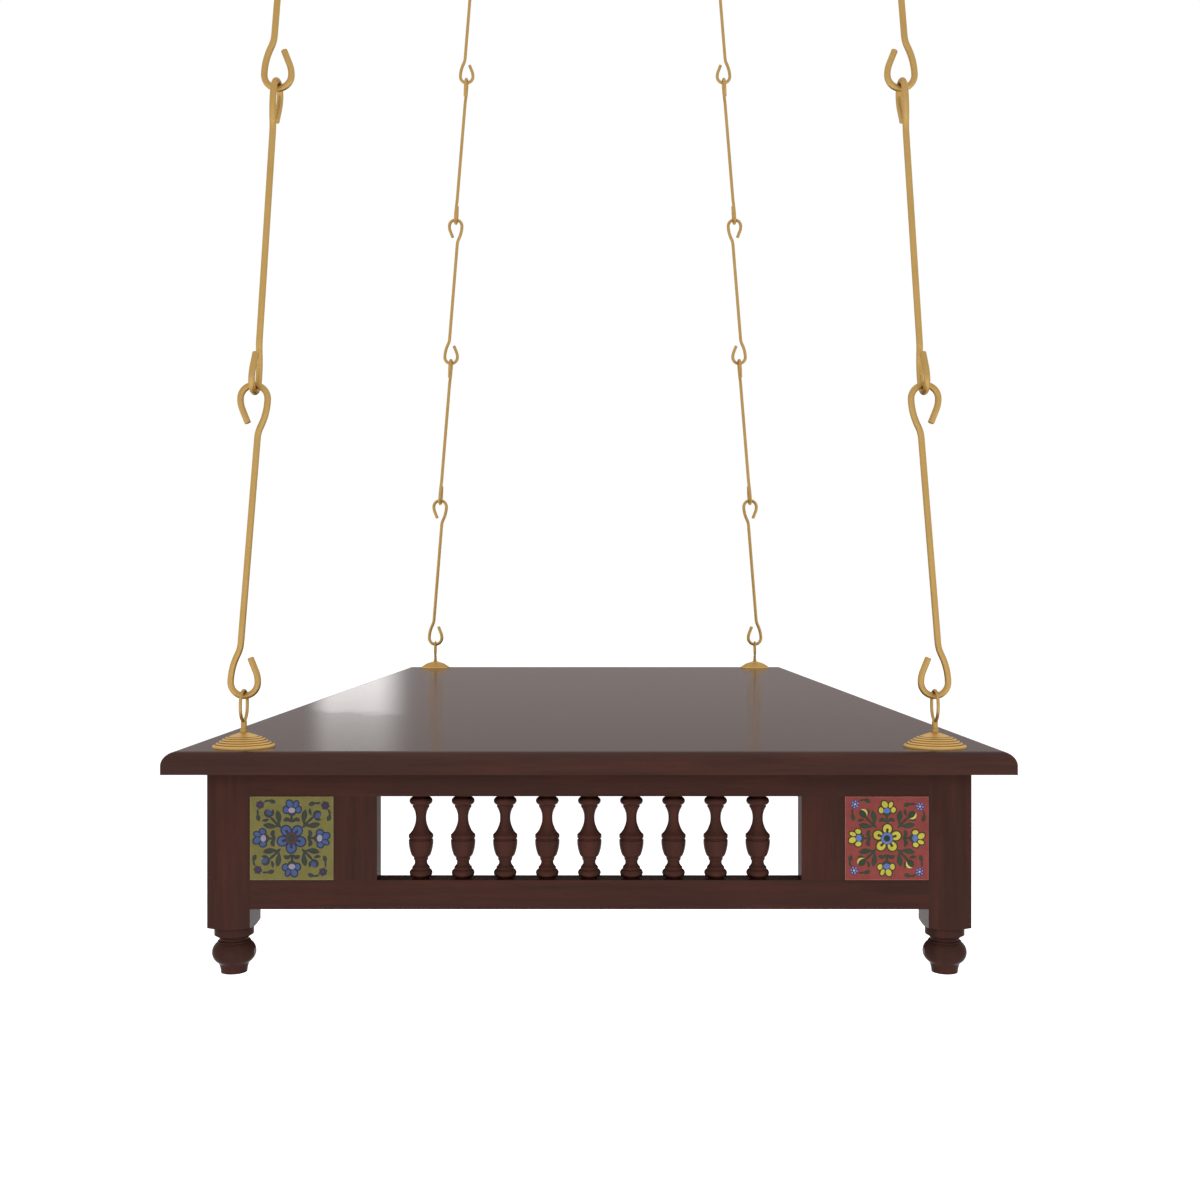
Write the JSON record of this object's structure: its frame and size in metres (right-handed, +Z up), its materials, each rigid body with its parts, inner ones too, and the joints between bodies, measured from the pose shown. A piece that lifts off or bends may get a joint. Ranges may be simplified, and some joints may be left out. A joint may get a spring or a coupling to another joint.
{
  "type": "jhoola swing",
  "caption": "Wooden plank swing seat with tiled baluster apron and turned feet, hung by hooked brass rods from ceiling eye bolts.",
  "frame": {"origin": "below the middle of the seat, level with the undersides of its feet", "axes": "+Z up towards the ceiling, X across the seat, Y along it; the picture looks along +Y"},
  "size_m": [0.762, 1.524, 1.7703],
  "materials": {
    "lacquered_wood": "dark mahogany satin lacquer",
    "frame_wood": "stained, not polished",
    "brass": "satin",
    "steel": "zinc plated",
    "tile_olive": "hand painted glaze",
    "tile_red": "hand painted glaze"
  },
  "bodies": {
    "ceiling_fittings": {"ceiling_eye_bolts": "brass", "ceiling_rosettes": "brass"},
    "top_rod_front_left": {"rod_5_front_left": "brass"},
    "middle_rods_front_left": {"rod_4_front_left": "brass", "rod_3_front_left": "brass", "rod_2_front_left": "brass"},
    "bottom_rod_front_left": {"rod_1_front_left": "brass"},
    "top_rod_front_right": {"rod_5_front_right": "brass"},
    "middle_rods_front_right": {"rod_4_front_right": "brass", "rod_3_front_right": "brass", "rod_2_front_right": "brass"},
    "bottom_rod_front_right": {"rod_1_front_right": "brass"},
    "top_rod_back_left": {"rod_5_back_left": "brass"},
    "middle_rods_back_left": {"rod_4_back_left": "brass", "rod_3_back_left": "brass", "rod_2_back_left": "brass"},
    "bottom_rod_back_left": {"rod_1_back_left": "brass"},
    "top_rod_back_right": {"rod_5_back_right": "brass"},
    "middle_rods_back_right": {"rod_4_back_right": "brass", "rod_3_back_right": "brass", "rod_2_back_right": "brass"},
    "bottom_rod_back_right": {"rod_1_back_right": "brass"},
    "seat": {"back_balusters": "lacquered_wood", "back_lower_rail": "lacquered_wood", "back_stiles": "lacquered_wood", "back_tile_1": "tile_olive", "back_tile_2": "tile_red", "back_upper_rail": "lacquered_wood", "barrel_nuts": "steel", "batten_screws": "steel", "front_balusters": "lacquered_wood", "front_lower_rail": "lacquered_wood", "front_stiles": "lacquered_wood", "front_tile_1": "tile_olive", "front_tile_2": "tile_red", "front_upper_rail": "lacquered_wood", "left_balusters": "lacquered_wood", "left_lower_rail": "lacquered_wood", "left_stiles": "lacquered_wood", "left_tile_1": "tile_olive", "left_tile_2": "tile_red", "left_tile_3": "tile_olive", "left_upper_rail": "lacquered_wood", "leg_back_left": "lacquered_wood", "leg_back_right": "lacquered_wood", "leg_front_left": "lacquered_wood", "leg_front_right": "lacquered_wood", "plank_battens": "frame_wood", "right_balusters": "lacquered_wood", "right_lower_rail": "lacquered_wood", "right_stiles": "lacquered_wood", "right_tile_1": "tile_olive", "right_tile_2": "tile_red", "right_tile_3": "tile_olive", "right_upper_rail": "lacquered_wood", "seat_eye_bolts": "brass", "seat_plank": "lacquered_wood", "seat_rosettes": "brass", "tile_backings": "frame_wood"}
  },
  "joints": [
    {"name": "crosswise_swing_front_left", "type": "hinge", "parent": "ceiling_fittings", "child": "top_rod_front_left", "pos_m": [-0.24693, -0.716, 1.65825], "axis": [0, 1, 0], "range_deg": [-10, 10]},
    {"name": "lengthwise_swing_front_left", "type": "hinge", "parent": "top_rod_front_left", "child": "middle_rods_front_left", "pos_m": [-0.25683, -0.716, 1.37642], "axis": [1, 0, 0], "range_deg": [-20, 20]},
    {"name": "bottom_rod_return_front_left", "type": "hinge", "parent": "middle_rods_front_left", "child": "bottom_rod_front_left", "pos_m": [-0.30889, -0.716, 0.5424], "axis": [1, 0, 0], "range_deg": [-20, 20]},
    {"name": "crosswise_swing_front_right", "type": "hinge", "parent": "ceiling_fittings", "child": "top_rod_front_right", "pos_m": [0.24693, -0.716, 1.65825], "axis": [0, 1, 0], "range_deg": [-10, 10]},
    {"name": "lengthwise_swing_front_right", "type": "hinge", "parent": "top_rod_front_right", "child": "middle_rods_front_right", "pos_m": [0.25683, -0.716, 1.37642], "axis": [1, 0, 0], "range_deg": [-20, 20]},
    {"name": "bottom_rod_return_front_right", "type": "hinge", "parent": "middle_rods_front_right", "child": "bottom_rod_front_right", "pos_m": [0.30889, -0.716, 0.5424], "axis": [1, 0, 0], "range_deg": [-20, 20]},
    {"name": "crosswise_swing_back_left", "type": "hinge", "parent": "ceiling_fittings", "child": "top_rod_back_left", "pos_m": [-0.24693, 0.716, 1.65825], "axis": [0, 1, 0], "range_deg": [-10, 10]},
    {"name": "lengthwise_swing_back_left", "type": "hinge", "parent": "top_rod_back_left", "child": "middle_rods_back_left", "pos_m": [-0.25683, 0.716, 1.37642], "axis": [1, 0, 0], "range_deg": [-20, 20]},
    {"name": "bottom_rod_return_back_left", "type": "hinge", "parent": "middle_rods_back_left", "child": "bottom_rod_back_left", "pos_m": [-0.30889, 0.716, 0.5424], "axis": [1, 0, 0], "range_deg": [-20, 20]},
    {"name": "crosswise_swing_back_right", "type": "hinge", "parent": "ceiling_fittings", "child": "top_rod_back_right", "pos_m": [0.24693, 0.716, 1.65825], "axis": [0, 1, 0], "range_deg": [-10, 10]},
    {"name": "lengthwise_swing_back_right", "type": "hinge", "parent": "top_rod_back_right", "child": "middle_rods_back_right", "pos_m": [0.25683, 0.716, 1.37642], "axis": [1, 0, 0], "range_deg": [-20, 20]},
    {"name": "bottom_rod_return_back_right", "type": "hinge", "parent": "middle_rods_back_right", "child": "bottom_rod_back_right", "pos_m": [0.30889, 0.716, 0.5424], "axis": [1, 0, 0], "range_deg": [-20, 20]},
    {"name": "seat_tilt", "type": "hinge", "parent": "bottom_rod_front_left", "child": "seat", "pos_m": [-0.3188, -0.716, 0.26057], "axis": [0, 1, 0], "range_deg": [-8, 8]}
  ],
  "couplings": [
    {"joint": "bottom_rod_return_front_left", "follows": "lengthwise_swing_front_left", "ratio": -1},
    {"joint": "crosswise_swing_front_right", "follows": "crosswise_swing_front_left", "ratio": 1},
    {"joint": "lengthwise_swing_front_right", "follows": "lengthwise_swing_front_left", "ratio": 1},
    {"joint": "bottom_rod_return_front_right", "follows": "lengthwise_swing_front_left", "ratio": -1},
    {"joint": "crosswise_swing_back_left", "follows": "crosswise_swing_front_left", "ratio": 1},
    {"joint": "lengthwise_swing_back_left", "follows": "lengthwise_swing_front_left", "ratio": 1},
    {"joint": "bottom_rod_return_back_left", "follows": "lengthwise_swing_front_left", "ratio": -1},
    {"joint": "crosswise_swing_back_right", "follows": "crosswise_swing_front_left", "ratio": 1},
    {"joint": "lengthwise_swing_back_right", "follows": "lengthwise_swing_front_left", "ratio": 1},
    {"joint": "bottom_rod_return_back_right", "follows": "lengthwise_swing_front_left", "ratio": -1},
    {"joint": "seat_tilt", "follows": "crosswise_swing_front_left", "ratio": -0.77455}
  ]
}
